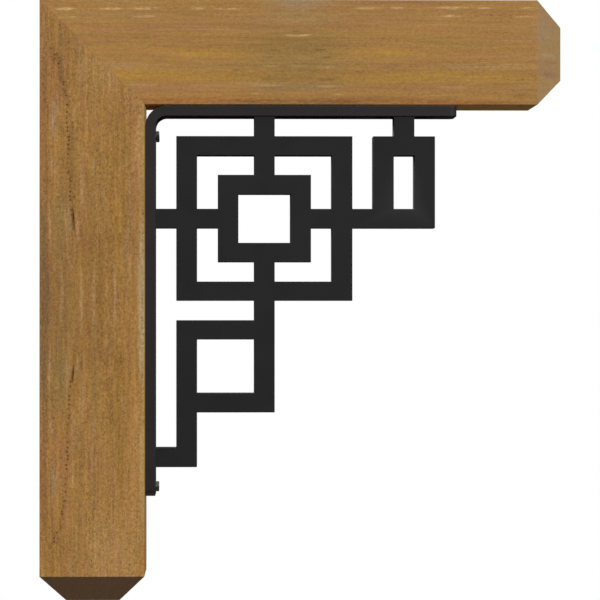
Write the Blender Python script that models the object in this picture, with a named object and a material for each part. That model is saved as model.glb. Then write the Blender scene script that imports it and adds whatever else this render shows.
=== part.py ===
"""A corbel bracket: two mitred square timbers, a bent steel strap and a fretwork of square steel bars.

Metres, with +Z up. +X points straight out from the wall, and +Y runs along it. The origin is the
middle of the post's flat back, which lies against the wall. The bracket is the same on both sides
of the plane y = 0.
"""

from math import cos, pi, radians, sin, tan

import bmesh
import bpy
from mathutils import Matrix, Vector

# Timbers: the post is as long as the bracket is high, and the beam as long as it reaches.
BRACKET_HEIGHT = 0.762
BRACKET_REACH = 0.6625
TIMBER_FACE = 0.1325
TIMBER_DEPTH = 0.1325
END_CHAMFER = 0.0325
END_CHAMFER_LENGTH = 0.0325

# Bent strap. Its legs run on past the fretwork by their own tails.
STRAP_WIDTH = 0.0762
STRAP_THICKNESS = 0.0127
STRAP_TIP_TAIL = 0.0268
STRAP_FOOT_TAIL = 0.0361
STRAP_BEND_RADIUS = 0.014
STRAP_CORNER_RADIUS = 0.009
BEND_STEPS = 12
CORNER_STEPS = 6

# Fretwork of square bars
FRET_DEPTH = 0.0381
UPRIGHT_WIDTH = 0.0264
RAIL_HEIGHT = 0.0247
UPRIGHT_SPACE = 0.0266
RAIL_SPACE = 0.0248
INNER_HOLE_WIDTH = 0.0664
INNER_HOLE_HEIGHT = 0.0622
SMALL_HOLE_WIDTH = 0.0264
LOWER_HOLE_HEIGHT = 0.0685
FOOT_DROP = 0.0451

# Hex-headed lag screws
HEAD_ACROSS_FLATS = 0.0127
HEAD_HEIGHT = 0.0043
HEAD_CHAMFER = 0.0006
SHANK_DIAMETER = 0.0079
SHANK_LENGTH = 0.076
POINT_LENGTH = 0.009
POINT_DIAMETER = 0.002
UPPER_SCREW_BELOW_BEND = 0.0109
LOWER_SCREW_EDGE = 0.0109
UPPER_SCREW_TILT = radians(2.0)
UPPER_SCREW_TURN = radians(-15.0)
SIDES_PER_FLAT = 4

# Gaps between pieces that touch in the real bracket
JOINT_GAP = 0.0003
SCREW_CLEARANCE = 0.0003
CUTTER_OVERSHOOT = 0.002

# Finishes, as linear colours
WOOD_COLOUR = (0.33, 0.18, 0.06, 1.0)
WOOD_ROUGHNESS = 0.7
STEEL_COLOUR = (0.023, 0.023, 0.023, 1.0)
STEEL_ROUGHNESS = 0.45

# Two edges this close, in decimal places of a metre, are one edge.
EDGE_PLACES = 6

# Faces that meet at more than this are a true edge.
SHARP_ANGLE = radians(30.0)

# How far each face of the strap, and the bar ends welded to it, lie from the bracket's outer corner.
STRAP_OUTER = TIMBER_FACE + JOINT_GAP
STRAP_INNER = STRAP_OUTER + STRAP_THICKNESS
WELD_FACE = STRAP_INNER + JOINT_GAP
BEND_OUTER_RADIUS = STRAP_BEND_RADIUS + STRAP_THICKNESS

# The uprights' left edges, counted from the wall.
OUTER_LEFT = STRAP_INNER + UPRIGHT_SPACE
INNER_LEFT = OUTER_LEFT + UPRIGHT_WIDTH + UPRIGHT_SPACE
MIDDLE_LEFT = INNER_LEFT + (UPRIGHT_WIDTH + INNER_HOLE_WIDTH) / 2
INNER_RIGHT = INNER_LEFT + UPRIGHT_WIDTH + INNER_HOLE_WIDTH
OUTER_RIGHT = INNER_RIGHT + UPRIGHT_WIDTH + UPRIGHT_SPACE
SMALL_LEFT = OUTER_RIGHT + UPRIGHT_WIDTH + UPRIGHT_SPACE
SMALL_MIDDLE = SMALL_LEFT + (UPRIGHT_WIDTH + SMALL_HOLE_WIDTH) / 2
SMALL_RIGHT = SMALL_LEFT + UPRIGHT_WIDTH + SMALL_HOLE_WIDTH

# The rails' top edges, counted down from the top of the beam.
OUTER_TOP = STRAP_INNER + RAIL_SPACE
INNER_TOP = OUTER_TOP + RAIL_HEIGHT + RAIL_SPACE
MIDDLE_TOP = INNER_TOP + (RAIL_HEIGHT + INNER_HOLE_HEIGHT) / 2
INNER_BOTTOM = INNER_TOP + RAIL_HEIGHT + INNER_HOLE_HEIGHT
OUTER_BOTTOM = INNER_BOTTOM + RAIL_HEIGHT + RAIL_SPACE
LOWER_TOP = OUTER_BOTTOM + RAIL_HEIGHT + RAIL_SPACE
LOWER_BOTTOM = LOWER_TOP + RAIL_HEIGHT + LOWER_HOLE_HEIGHT
FOOT_TOP = LOWER_BOTTOM + RAIL_HEIGHT + FOOT_DROP

# Where each strap leg ends, from the same corner.
STRAP_TIP = SMALL_RIGHT + UPRIGHT_WIDTH + STRAP_TIP_TAIL
STRAP_FOOT = FOOT_TOP + RAIL_HEIGHT + STRAP_FOOT_TAIL

# The post's flat back runs from the top of the bracket down to the foot's chamfer.
TOP = (BRACKET_HEIGHT - END_CHAMFER_LENGTH) / 2


def clear_scene():
    for obj in list(bpy.data.objects):
        bpy.data.objects.remove(obj, do_unlink=True)


def material(name, colour, roughness):
    """A Principled material of one colour: the steel's coat is paint, so nothing here is metallic."""
    made = bpy.data.materials.new(name)
    made.use_nodes = True
    shader = made.node_tree.nodes["Principled BSDF"]
    shader.inputs["Base Color"].default_value = colour
    shader.inputs["Roughness"].default_value = roughness
    shader.inputs["Metallic"].default_value = 0.0
    return made


def add_object(name, bm, parent, finish=None):
    """Closes the mesh's normals outwards and puts it in the scene under its parent."""
    bmesh.ops.recalc_face_normals(bm, faces=bm.faces)
    mesh = bpy.data.meshes.new(name)
    bm.to_mesh(mesh)
    bm.free()
    obj = bpy.data.objects.new(name, mesh)
    if finish:
        mesh.materials.append(finish)
    bpy.context.scene.collection.objects.link(obj)
    obj.parent = parent
    return obj


def loft(rings):
    """A closed body through rings of points, each with as many points as the next, capped flat."""
    bm = bmesh.new()
    loops = [[bm.verts.new(point) for point in ring] for ring in rings]
    count = len(loops[0])
    for near, far in zip(loops, loops[1:]):
        for i in range(count):
            j = (i + 1) % count
            bm.faces.new((near[i], near[j], far[j], far[i]))
    bm.faces.new(loops[0])
    bm.faces.new(reversed(loops[-1]))
    return bm


def timber(name, length, parent, finish):
    """One leg along +X, its outer face at z = 0, from the mitred corner to its blunt pointed end."""
    half = TIMBER_DEPTH / 2
    section = [(-half, 0.0), (half, 0.0), (half, -TIMBER_FACE), (-half, -TIMBER_FACE)]
    # The mitre plane runs at 45 degrees, so half the gap across it is this much along the leg.
    mitre_gap = JOINT_GAP / 2 / sin(pi / 4)
    mitre = [(mitre_gap - z, y, z) for y, z in section]
    shoulder = [(length - END_CHAMFER_LENGTH, y, z) for y, z in section]
    middle = -TIMBER_FACE / 2
    shrink_y = (half - END_CHAMFER) / half
    shrink_z = (TIMBER_FACE / 2 - END_CHAMFER) / (TIMBER_FACE / 2)
    end = [(length, y * shrink_y, middle + (z - middle) * shrink_z) for y, z in section]
    return add_object(name, loft([mitre, shoulder, end]), parent, finish)


def strap_station(path_point, normal, half_width):
    """The strap's four corners where its outer face passes path_point with this outward normal."""
    outer = Vector((path_point[0], 0.0, path_point[1]))
    inner = outer - Vector((normal[0], 0.0, normal[1])) * STRAP_THICKNESS
    across = Vector((0.0, half_width, 0.0))
    return [outer - across, outer + across, inner + across, inner - across]


def strap_end(tip, inward, normal):
    """Stations from the strap's tip to where its rounded corners reach the full width."""
    stations = []
    for step in range(CORNER_STEPS + 1):
        angle = pi / 2 * step / CORNER_STEPS
        along = STRAP_CORNER_RADIUS - STRAP_CORNER_RADIUS * cos(angle)
        half_width = STRAP_WIDTH / 2 - STRAP_CORNER_RADIUS + STRAP_CORNER_RADIUS * sin(angle)
        point = (tip[0] + inward[0] * along, tip[1] + inward[1] * along)
        stations.append(strap_station(point, normal, half_width))
    return stations


def strap_body():
    """The flat bar from its tip under the beam, round the bend, to its foot on the post."""
    tip = (STRAP_TIP, TOP - STRAP_OUTER)
    foot = (STRAP_OUTER, TOP - STRAP_FOOT)
    centre = (STRAP_OUTER + BEND_OUTER_RADIUS, TOP - STRAP_OUTER - BEND_OUTER_RADIUS)
    stations = strap_end(tip, inward=(-1.0, 0.0), normal=(0.0, 1.0))
    for step in range(BEND_STEPS + 1):
        angle = pi / 2 * step / BEND_STEPS
        normal = (-sin(angle), cos(angle))
        point = (centre[0] + normal[0] * BEND_OUTER_RADIUS, centre[1] + normal[1] * BEND_OUTER_RADIUS)
        stations.append(strap_station(point, normal, STRAP_WIDTH / 2))
    stations.extend(reversed(strap_end(foot, inward=(0.0, 1.0), normal=(-1.0, 0.0))))
    return loft(stations)


def upright(left, top, bottom):
    """A vertical bar's rectangle: left, right, top and bottom edges, from the bracket's outer corner."""
    return left, left + UPRIGHT_WIDTH, top, bottom


def rail(top, left, right):
    """A level bar's rectangle, in the same order."""
    return left, right, top, top + RAIL_HEIGHT


def ring(left, right, top, bottom):
    """Four bars round a rectangle, from the left edges of its uprights and the top edges of its rails."""
    return [
        upright(left, top, bottom + RAIL_HEIGHT),
        upright(right, top, bottom + RAIL_HEIGHT),
        rail(top, left, right + UPRIGHT_WIDTH),
        rail(bottom, left, right + UPRIGHT_WIDTH),
    ]


def fret_bars():
    """The panel's bars, each as its rectangle."""
    return [
        *ring(OUTER_LEFT, OUTER_RIGHT, OUTER_TOP, OUTER_BOTTOM),
        *ring(INNER_LEFT, INNER_RIGHT, INNER_TOP, INNER_BOTTOM),
        *ring(SMALL_LEFT, SMALL_RIGHT, OUTER_TOP, MIDDLE_TOP),
        *ring(OUTER_LEFT, MIDDLE_LEFT, LOWER_TOP, LOWER_BOTTOM),
        upright(MIDDLE_LEFT, WELD_FACE, INNER_TOP + RAIL_HEIGHT),
        upright(MIDDLE_LEFT, INNER_BOTTOM, LOWER_TOP + RAIL_HEIGHT),
        upright(SMALL_MIDDLE, WELD_FACE, OUTER_TOP + RAIL_HEIGHT),
        rail(MIDDLE_TOP, WELD_FACE, INNER_LEFT + UPRIGHT_WIDTH),
        rail(MIDDLE_TOP, INNER_RIGHT, SMALL_LEFT + UPRIGHT_WIDTH),
        upright(OUTER_LEFT, LOWER_BOTTOM, FOOT_TOP + RAIL_HEIGHT),
        rail(FOOT_TOP, WELD_FACE, OUTER_LEFT + UPRIGHT_WIDTH),
    ]


def fretwork_body():
    """All bars as one body: the cells that a bar covers are filled, joined and made FRET_DEPTH thick."""
    bars = [[round(edge, EDGE_PLACES) for edge in bar] for bar in fret_bars()]
    columns = sorted({edge for bar in bars for edge in bar[:2]})
    rows = sorted({edge for bar in bars for edge in bar[2:]})
    bm = bmesh.new()
    corners = {}

    def corner(x, drop):
        if (x, drop) not in corners:
            corners[x, drop] = bm.verts.new((x, -FRET_DEPTH / 2, TOP - drop))
        return corners[x, drop]

    for left, right in zip(columns, columns[1:]):
        for top, bottom in zip(rows, rows[1:]):
            across = (left + right) / 2
            down = (top + bottom) / 2
            if any(bar[0] < across < bar[1] and bar[2] < down < bar[3] for bar in bars):
                cell = [(left, top), (left, bottom), (right, bottom), (right, top)]
                bm.faces.new([corner(x, drop) for x, drop in cell])
    front = list(bm.faces)
    back = bmesh.ops.extrude_face_region(bm, geom=front, use_keep_orig=True)["geom"]
    moved = [item for item in back if isinstance(item, bmesh.types.BMVert)]
    bmesh.ops.translate(bm, verts=moved, vec=(0.0, FRET_DEPTH, 0.0))
    return bm


def circle(radius, along):
    """Points round the screw's axis, which is +X, as many as hexagon() has."""
    count = 6 * SIDES_PER_FLAT
    turns = [2 * pi * i / count for i in range(count)]
    return [(along, radius * cos(turn), radius * sin(turn)) for turn in turns]


def hexagon(across_flats, along):
    """A hexagon round +X with corners at both ends of Y, each flat in SIDES_PER_FLAT stretches."""
    radius = across_flats / 2 / cos(pi / 6)
    corners = [Vector((along, radius * cos(pi / 3 * i), radius * sin(pi / 3 * i))) for i in range(6)]
    points = []
    for i, start in enumerate(corners):
        stop = corners[(i + 1) % 6]
        points.extend(start.lerp(stop, step / SIDES_PER_FLAT) for step in range(SIDES_PER_FLAT))
    return points


def screw_body():
    """A lag screw along +X with its head's underside at x = 0 and its point at -SHANK_LENGTH."""
    shank = SHANK_DIAMETER / 2
    return loft(
        [
            circle(POINT_DIAMETER / 2, -SHANK_LENGTH),
            circle(shank, POINT_LENGTH - SHANK_LENGTH),
            circle(shank, 0.0),
            hexagon(HEAD_ACROSS_FLATS, 0.0),
            hexagon(HEAD_ACROSS_FLATS, HEAD_HEIGHT - HEAD_CHAMFER),
            circle(HEAD_ACROSS_FLATS / 2 - HEAD_CHAMFER, HEAD_HEIGHT),
        ]
    )


def screw_hole_body():
    """The cutter of a screw's hole, open past the strap's face and clear of the shank and its point."""
    radius = SHANK_DIAMETER / 2 + SCREW_CLEARANCE
    return loft(
        [
            circle(radius, -SHANK_LENGTH - SCREW_CLEARANCE),
            circle(radius, STRAP_THICKNESS + CUTTER_OVERSHOOT),
        ]
    )


def screw_seat(height, tilt, turn):
    """Where a screw's head meets the strap, tipped up by tilt, with no corner cutting into the strap.

    The turn is how far the screw stopped from having a flat of its head on top.
    """
    corner_reach = HEAD_ACROSS_FLATS / 2 / cos(pi / 6)
    place = Matrix.Translation((STRAP_INNER + JOINT_GAP + corner_reach * tan(tilt), 0.0, height))
    return place @ Matrix.Rotation(-tilt, 4, "Y") @ Matrix.Rotation(turn, 4, "X")


def round_off(obj):
    """Shades curved faces smooth and leaves true edges sharp."""
    obj.data.shade_smooth()
    obj.data.set_sharp_from_angle(angle=SHARP_ANGLE)


def cut_hole(obj, cutter):
    modifier = obj.modifiers.new(cutter.name, "BOOLEAN")
    modifier.operation = "DIFFERENCE"
    modifier.solver = "EXACT"
    modifier.object = cutter


def build():
    clear_scene()
    bracket = bpy.data.objects.new("bracket", None)
    bpy.context.scene.collection.objects.link(bracket)

    def wooden(name, length):
        finish = material(f"{name}_timber", WOOD_COLOUR, WOOD_ROUGHNESS)
        return timber(name, length, bracket, finish)

    def steel(name, bm):
        finish = material(f"{name}_black_steel", STEEL_COLOUR, STEEL_ROUGHNESS)
        return add_object(name, bm, bracket, finish)

    beam = wooden("beam", BRACKET_REACH)
    beam.location = (0.0, 0.0, TOP)
    post = wooden("post", BRACKET_HEIGHT)
    post.location = (0.0, 0.0, TOP)
    post.rotation_euler = (pi, pi / 2, 0.0)

    strap = steel("strap", strap_body())
    round_off(strap)
    steel("fretwork", fretwork_body())

    bend_end = STRAP_OUTER + BEND_OUTER_RADIUS
    seats = {
        "upper_screw": screw_seat(
            TOP - bend_end - UPPER_SCREW_BELOW_BEND, UPPER_SCREW_TILT, UPPER_SCREW_TURN
        ),
        "lower_screw": screw_seat(TOP - STRAP_FOOT + LOWER_SCREW_EDGE, 0.0, 0.0),
    }
    for name, seat in seats.items():
        screw = steel(name, screw_body())
        screw.matrix_local = seat
        round_off(screw)
        cutter = add_object(f"{name}_hole", screw_hole_body(), bracket)
        cutter.matrix_local = seat
        cutter.hide_render = True
        cutter.display_type = "WIRE"
        cut_hole(post, cutter)
        cut_hole(strap, cutter)


build()
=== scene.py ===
"""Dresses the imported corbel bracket: stained timbers, a powder-coated strap and fretwork, and lag screws.

Metres, in the part's own frame: +X out from the wall, +Y along it, +Z up. The origin is the middle of
the post's flat back.
"""

from __future__ import annotations

import logging
import math
from collections.abc import Callable
from dataclasses import dataclass
from enum import Enum

import bmesh
import bpy
from mathutils import Matrix, Vector, noise


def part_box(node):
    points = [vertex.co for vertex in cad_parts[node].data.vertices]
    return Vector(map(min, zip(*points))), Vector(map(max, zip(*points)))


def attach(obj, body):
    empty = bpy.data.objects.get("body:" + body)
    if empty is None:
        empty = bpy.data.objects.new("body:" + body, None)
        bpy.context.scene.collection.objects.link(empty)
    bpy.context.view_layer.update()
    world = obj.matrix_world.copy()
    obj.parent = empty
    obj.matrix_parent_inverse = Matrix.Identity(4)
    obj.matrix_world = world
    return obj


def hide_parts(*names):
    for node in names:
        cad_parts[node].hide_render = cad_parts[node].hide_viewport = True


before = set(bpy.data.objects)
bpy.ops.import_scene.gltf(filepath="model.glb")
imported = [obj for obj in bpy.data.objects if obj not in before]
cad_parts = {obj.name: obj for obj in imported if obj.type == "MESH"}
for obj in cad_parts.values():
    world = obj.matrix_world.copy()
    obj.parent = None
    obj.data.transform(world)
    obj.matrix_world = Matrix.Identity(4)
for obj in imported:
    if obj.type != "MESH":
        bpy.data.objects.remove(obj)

LOG = logging.getLogger("corbel_bracket")
BODY = "root"
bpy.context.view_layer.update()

# A millimetre in the metres of every mesh, and a metre in the millimetres of every pattern
MM = 0.001
MM_PER_METRE = 1000.0

# Faces that meet at more than this are an edge that a maker would ease
TRUE_EDGE = math.radians(30.0)
# A face turned further than this from every flat is part of a square arris
FLAT_FACE = math.radians(16.0)
# How squarely a face must look along the grain to count as the square end, or as a slanted cut
SQUARE_CUT = 0.9
SLANT_CUT = 0.5
# How far a finish's roughness strays to each side of its own
ROUGHNESS_SPREAD = 0.08
# Points closer than this, in metres, are one point
SAME_POINT = 1e-6
# The screws' places and the upper head's stance, as in the part's own source
UPPER_SCREW_BELOW_BEND = 0.0109
UPPER_SCREW_TILT = math.radians(2.0)
UPPER_SCREW_TURN = math.radians(-15.0)
LOWER_SCREW_ABOVE_FOOT = 0.0109
# A flat face and the first strip of its eased edge meet at more than this, so each keeps its own shading
SHADED_EDGE = math.radians(12.0)


def hex_to_linear(code: str) -> tuple[float, float, float, float]:
    """Turns an sRGB hex colour into the linear colour that shaders take.

    Args:
        code: Six hex digits, with or without a leading hash.

    Returns:
        Red, green, blue and an alpha of one.
    """
    digits = code.lstrip("#")
    channels = [int(digits[i : i + 2], 16) / 255 for i in (0, 2, 4)]
    linear = [c / 12.92 if c <= 0.04045 else ((c + 0.055) / 1.055) ** 2.4 for c in channels]
    return linear[0], linear[1], linear[2], 1.0


def add_node(
    tree: bpy.types.NodeTree,
    kind: str,
    inputs: dict[str | int, object] | None = None,
    output: str | int = 0,
    **settings: object,
) -> bpy.types.NodeSocket | None:
    """Adds one node with its settings, values and links.

    Args:
        tree: The node tree that takes it.
        kind: The node's type, such as ShaderNodeMath.
        inputs: A value, or a socket to link, for each named or numbered input.
        output: The name or number of the output to hand back.
        **settings: The node's own properties.

    Returns:
        The chosen output socket, if the node has any.
    """
    node = tree.nodes.new(kind)
    for name, value in settings.items():
        setattr(node, name, value)
    for key, value in (inputs or {}).items():
        if isinstance(value, bpy.types.NodeSocket):
            tree.links.new(value, node.inputs[key])
        else:
            node.inputs[key].default_value = value
    return node.outputs[output] if node.outputs else None


def new_material(name: str) -> tuple[bpy.types.Material, bpy.types.NodeTree, bpy.types.Node]:
    """Starts a material.

    Args:
        name: The finish's name.

    Returns:
        The material, its node tree and its Principled shader.
    """
    material = bpy.data.materials.new(name)
    material.use_nodes = True
    tree = material.node_tree
    return material, tree, tree.nodes["Principled BSDF"]


class Grain(Enum):
    """Which way a timber's grain runs."""

    LEVEL = "out from the wall"
    UPRIGHT = "down the wall"


@dataclass(frozen=True)
class Drift:
    """A slow change of the stain towards another colour, in lumps of a real size in millimetres.

    The change starts where the pattern passes `start`, and reaches `strength` a little further on.
    """

    colour: str
    along: float
    across: float
    start: float
    strength: float
    reach: float = 0.2


@dataclass(frozen=True)
class Fleck:
    """A light and dark pattern in lumps of a real size in millimetres, and how strong it is."""

    along: float
    across: float
    contrast: float


@dataclass(frozen=True)
class Streak:
    """A soft-edged lens of another colour just under the timber's face, in millimetres and degrees.

    Each streak shows twice, at the same distance to either side of the timber's middle, as the figure
    of the real timbers does. Across runs from the timber's outer face inwards, and a streak that leans
    turns towards the outer face as it leaves the middle.
    """

    off_middle: float
    across: float
    length: float
    width: float
    colour: str
    strength: float
    raggedness: float = 0.6
    core: float = 0.25
    lean: float = 0.0


@dataclass(frozen=True)
class Pores:
    """Open pores, which show as short dark dots crowded into rows along the grain, in millimetres.

    Real pores are a tenth of this wide, too fine to show.
    """

    strength: float
    width: float = 2.4
    length: float = 7.0
    crowding: float = 0.5
    colour: str = "#5a3a18"


@dataclass(frozen=True)
class PoreTrail:
    """One row of large open pores that leaves the middle on a slant and then curves, in millimetres."""

    nearest: float
    farthest: float
    across: float
    slant: float
    bend_start: float
    bend: float
    spacing: float = 5.8
    spread: float = 6.0
    pore_size: float = 0.3
    colour: str = "#4a2c10"
    strength: float = 0.8


@dataclass(frozen=True)
class StainedTimber:
    """Planed softwood under a thin warm brown stain, dry and unvarnished.

    To the eye it is matt and close-grained: fine fibres run its whole length, open pores show as rows
    of dark dots, and the stain settles gold, red or grey in long soft streaks. Growth rings show only
    as faint arcs on the cut ends.
    """

    name: str
    grain: Grain
    top: float
    middle: float
    front: float
    seed: float
    heart: tuple[float, float]
    body_colour: str
    end_colour: str
    drifts: tuple[Drift, ...]
    flecks: tuple[Fleck, ...]
    streaks: tuple[Streak, ...]
    pores: Pores
    trail: PoreTrail | None = None
    streak_depth: float = 90.0
    ring_spacing: float = 4.6
    late_wood_colour: str = "#6b4a24"
    # Painted shade: every eased arris is darkened towards this colour, as an edge turned away from the
    # light
    arris_shade_colour: str = "#54492a"
    roughness: float = 0.7
    sheen_level: float = 0.3
    arris_shade_strength: float = 0.7
    late_wood_strength: float = 0.3
    # From here on in millimetres
    fibre_length: float = 90.0
    fibre_width: float = 1.6
    break_length: float = 9.0
    break_width: float = 1.8
    wander_length: float = 320.0
    wander_width: float = 80.0
    wander: float = 8.0
    fibre_relief: float = 0.15
    ring_relief: float = 0.05
    pore_pit: float = 0.25

    def build(self) -> bpy.types.Material:
        """Makes the material.

        Returns:
            The finished material.
        """
        material, tree, shader = new_material(self.name)
        place = self._along_the_grain(tree)
        fibres = self._lumps(tree, place, self.fibre_length, self.fibre_width, detail=3.0)
        pores = self._pore_share(tree, place)
        ends = add_node(tree, "ShaderNodeAttribute", output="Fac", attribute_name="end_grain")
        square_end = add_node(tree, "ShaderNodeMapRange", {"Value": ends, "From Min": 0.5})
        rings = add_node(
            tree, "ShaderNodeMath", {0: self._rings(tree, place), 1: square_end}, operation="MULTIPLY"
        )
        # Painted shade along the eased arrises
        arrises = add_node(tree, "ShaderNodeAttribute", output="Fac", attribute_name="arris")
        arris_shade_share = add_node(
            tree, "ShaderNodeMath", {0: arrises, 1: self.arris_shade_strength}, operation="MULTIPLY"
        )
        ring_share = add_node(
            tree, "ShaderNodeMath", {0: rings, 1: self.late_wood_strength}, operation="MULTIPLY"
        )

        layers = [(self._drift_share(tree, place, drift), drift.colour) for drift in self.drifts]
        folded = self._folded_at_the_middle(tree, place)
        breaks = self._lumps(tree, place, self.break_length, self.break_width)
        layers += [(self._streak_share(tree, folded, breaks, s), s.colour) for s in self.streaks]
        layers += [(ends, self.end_colour), (ring_share, self.late_wood_colour)]
        layers += [(pores, self.pores.colour), (arris_shade_share, self.arris_shade_colour)]
        if self.trail:
            layers += [(self._trail_share(tree, folded, self.trail), self.trail.colour)]
        colour = hex_to_linear(self.body_colour)
        for share, tint in layers:
            colour = add_node(
                tree,
                "ShaderNodeMix",
                {0: share, 6: colour, 7: hex_to_linear(tint)},
                output=2,
                data_type="RGBA",
            )
        # Cut fibres show as calmer wood than fibres that lie along the face
        shade = add_node(
            tree,
            "ShaderNodeMix",
            {0: ends, 2: self._shade(tree, place), 3: 1.0},
            data_type="FLOAT",
        )
        colour = add_node(
            tree, "ShaderNodeVectorMath", {0: colour, 3: shade}, operation="SCALE"
        )
        tree.links.new(colour, shader.inputs["Base Color"])

        rough = add_node(
            tree,
            "ShaderNodeMapRange",
            {
                "Value": fibres,
                "To Min": self.roughness - ROUGHNESS_SPREAD,
                "To Max": self.roughness + ROUGHNESS_SPREAD,
            },
        )
        tree.links.new(rough, shader.inputs["Roughness"])

        # In millimetres: fibres left by the plane, late wood proud on the ends, and pores as pits
        ring_height = add_node(
            tree, "ShaderNodeMath", {0: rings, 1: self.ring_relief}, operation="MULTIPLY"
        )
        height = add_node(
            tree,
            "ShaderNodeMath",
            {0: fibres, 1: self.fibre_relief, 2: ring_height},
            operation="MULTIPLY_ADD",
        )
        height = add_node(
            tree, "ShaderNodeMath", {0: pores, 1: -self.pore_pit, 2: height}, operation="MULTIPLY_ADD"
        )
        bump = add_node(tree, "ShaderNodeBump", {"Distance": MM, "Height": height})
        tree.links.new(bump, shader.inputs["Normal"])
        shader.inputs["Specular IOR Level"].default_value = self.sheen_level
        return material

    def _along_the_grain(self, tree: bpy.types.NodeTree) -> bpy.types.NodeSocket:
        """Turns the object's own coordinates into millimetres along the grain, in depth and across.

        Args:
            tree: The finish's node tree.

        Returns:
            Where each point lies, in millimetres.
        """
        own = add_node(tree, "ShaderNodeTexCoord", output="Object")
        top_mm = self.top * MM_PER_METRE
        level = self.grain is Grain.LEVEL
        straight = add_node(
            tree,
            "ShaderNodeMapping",
            {
                "Vector": own,
                "Location": (0.0, 0.0, top_mm) if level else (top_mm, 0.0, 0.0),
                "Rotation": (0.0, 0.0, 0.0) if level else (0.0, -math.pi / 2, 0.0),
                "Scale": (MM_PER_METRE, MM_PER_METRE, -MM_PER_METRE if level else MM_PER_METRE),
            },
        )
        # The grain wanders a few millimetres to each side as it runs
        wander = self._lumps(
            tree, straight, self.wander_length, self.wander_width, detail=1.0, output="Color"
        )
        centred = add_node(
            tree, "ShaderNodeVectorMath", {0: wander, 1: (0.5, 0.5, 0.5)}, operation="SUBTRACT"
        )
        return add_node(
            tree,
            "ShaderNodeVectorMath",
            {0: centred, 1: (0.0, self.wander, self.wander), 2: straight},
            operation="MULTIPLY_ADD",
        )

    def _lumps(
        self,
        tree: bpy.types.NodeTree,
        place: bpy.types.NodeSocket,
        along: float,
        across: float,
        detail: float = 2.0,
        output: str = "Fac",
    ) -> bpy.types.NodeSocket:
        """A pattern of lumps of this size along the grain and across it, in millimetres.

        Args:
            tree: The finish's node tree.
            place: Where each point lies, in millimetres.
            along: A lump's size along the grain.
            across: A lump's size across the grain and in depth.
            detail: How many finer patterns lie on it.
            output: Fac for one value, or Color for three.

        Returns:
            The pattern, about 0.5 on average.
        """
        scaled = add_node(
            tree,
            "ShaderNodeMapping",
            {
                "Vector": place,
                "Location": (self.seed + across, self.seed * 1.7, along),
                "Scale": (1.0 / along, 1.0 / across, 1.0 / across),
            },
        )
        return add_node(
            tree,
            "ShaderNodeTexNoise",
            {"Vector": scaled, "Scale": 1.0, "Detail": detail, "Roughness": 0.55},
            output=output,
        )

    def _drift_share(
        self, tree: bpy.types.NodeTree, place: bpy.types.NodeSocket, drift: Drift
    ) -> bpy.types.NodeSocket:
        """How far the stain has drifted towards this colour at each point.

        Args:
            tree: The finish's node tree.
            place: Where each point lies, in millimetres.
            drift: The drift of stain.

        Returns:
            Its share, from 0 to its strength.
        """
        return add_node(
            tree,
            "ShaderNodeMapRange",
            {
                "Value": self._lumps(tree, place, drift.along, drift.across),
                "From Min": drift.start,
                "From Max": drift.start + drift.reach,
                "To Max": drift.strength,
            },
            interpolation_type="SMOOTHSTEP",
        )

    def _shade(
        self, tree: bpy.types.NodeTree, place: bpy.types.NodeSocket
    ) -> bpy.types.NodeSocket:
        """All the light and dark flecks together, 1 on average.

        Args:
            tree: The finish's node tree.
            place: Where each point lies, in millimetres.

        Returns:
            What the colour is multiplied by.
        """
        shade = 1.0 - sum(fleck.contrast for fleck in self.flecks) / 2
        for fleck in self.flecks:
            pattern = self._lumps(tree, place, fleck.along, fleck.across)
            shade = add_node(
                tree,
                "ShaderNodeMath",
                {0: pattern, 1: fleck.contrast, 2: shade},
                operation="MULTIPLY_ADD",
            )
        return shade

    def _rings(
        self, tree: bpy.types.NodeTree, place: bpy.types.NodeSocket
    ) -> bpy.types.NodeSocket:
        """Growth rings round the tree's heart, each a slow rise and a sudden fall at the late wood.

        Args:
            tree: The finish's node tree.
            place: Where each point lies, in millimetres.

        Returns:
            The late wood's share, from 0 to 1.
        """
        from_heart = add_node(
            tree,
            "ShaderNodeVectorMath",
            {0: place, 1: (0.0, self.heart[0], self.heart[1])},
            operation="SUBTRACT",
        )
        flat = add_node(
            tree, "ShaderNodeVectorMath", {0: from_heart, 1: (0.0, 1.0, 1.0)}, operation="MULTIPLY"
        )
        radius = add_node(tree, "ShaderNodeVectorMath", {0: flat}, output="Value", operation="LENGTH")
        radius = add_node(
            tree,
            "ShaderNodeMath",
            {0: self._lumps(tree, place, 500.0, 30.0), 1: self.ring_spacing * 3, 2: radius},
            operation="MULTIPLY_ADD",
        )
        share = add_node(
            tree, "ShaderNodeMath", {0: radius, 1: self.ring_spacing}, operation="DIVIDE"
        )
        share = add_node(tree, "ShaderNodeMath", {0: share}, operation="FRACT")
        rise = add_node(
            tree,
            "ShaderNodeMapRange",
            {"Value": share, "From Min": 0.35, "From Max": 0.85},
            interpolation_type="SMOOTHSTEP",
        )
        fall = add_node(
            tree,
            "ShaderNodeMapRange",
            {"Value": share, "From Min": 0.88, "To Min": 1.0, "To Max": 0.0},
            interpolation_type="SMOOTHSTEP",
        )
        return add_node(tree, "ShaderNodeMath", {0: rise, 1: fall}, operation="MULTIPLY")

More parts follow.
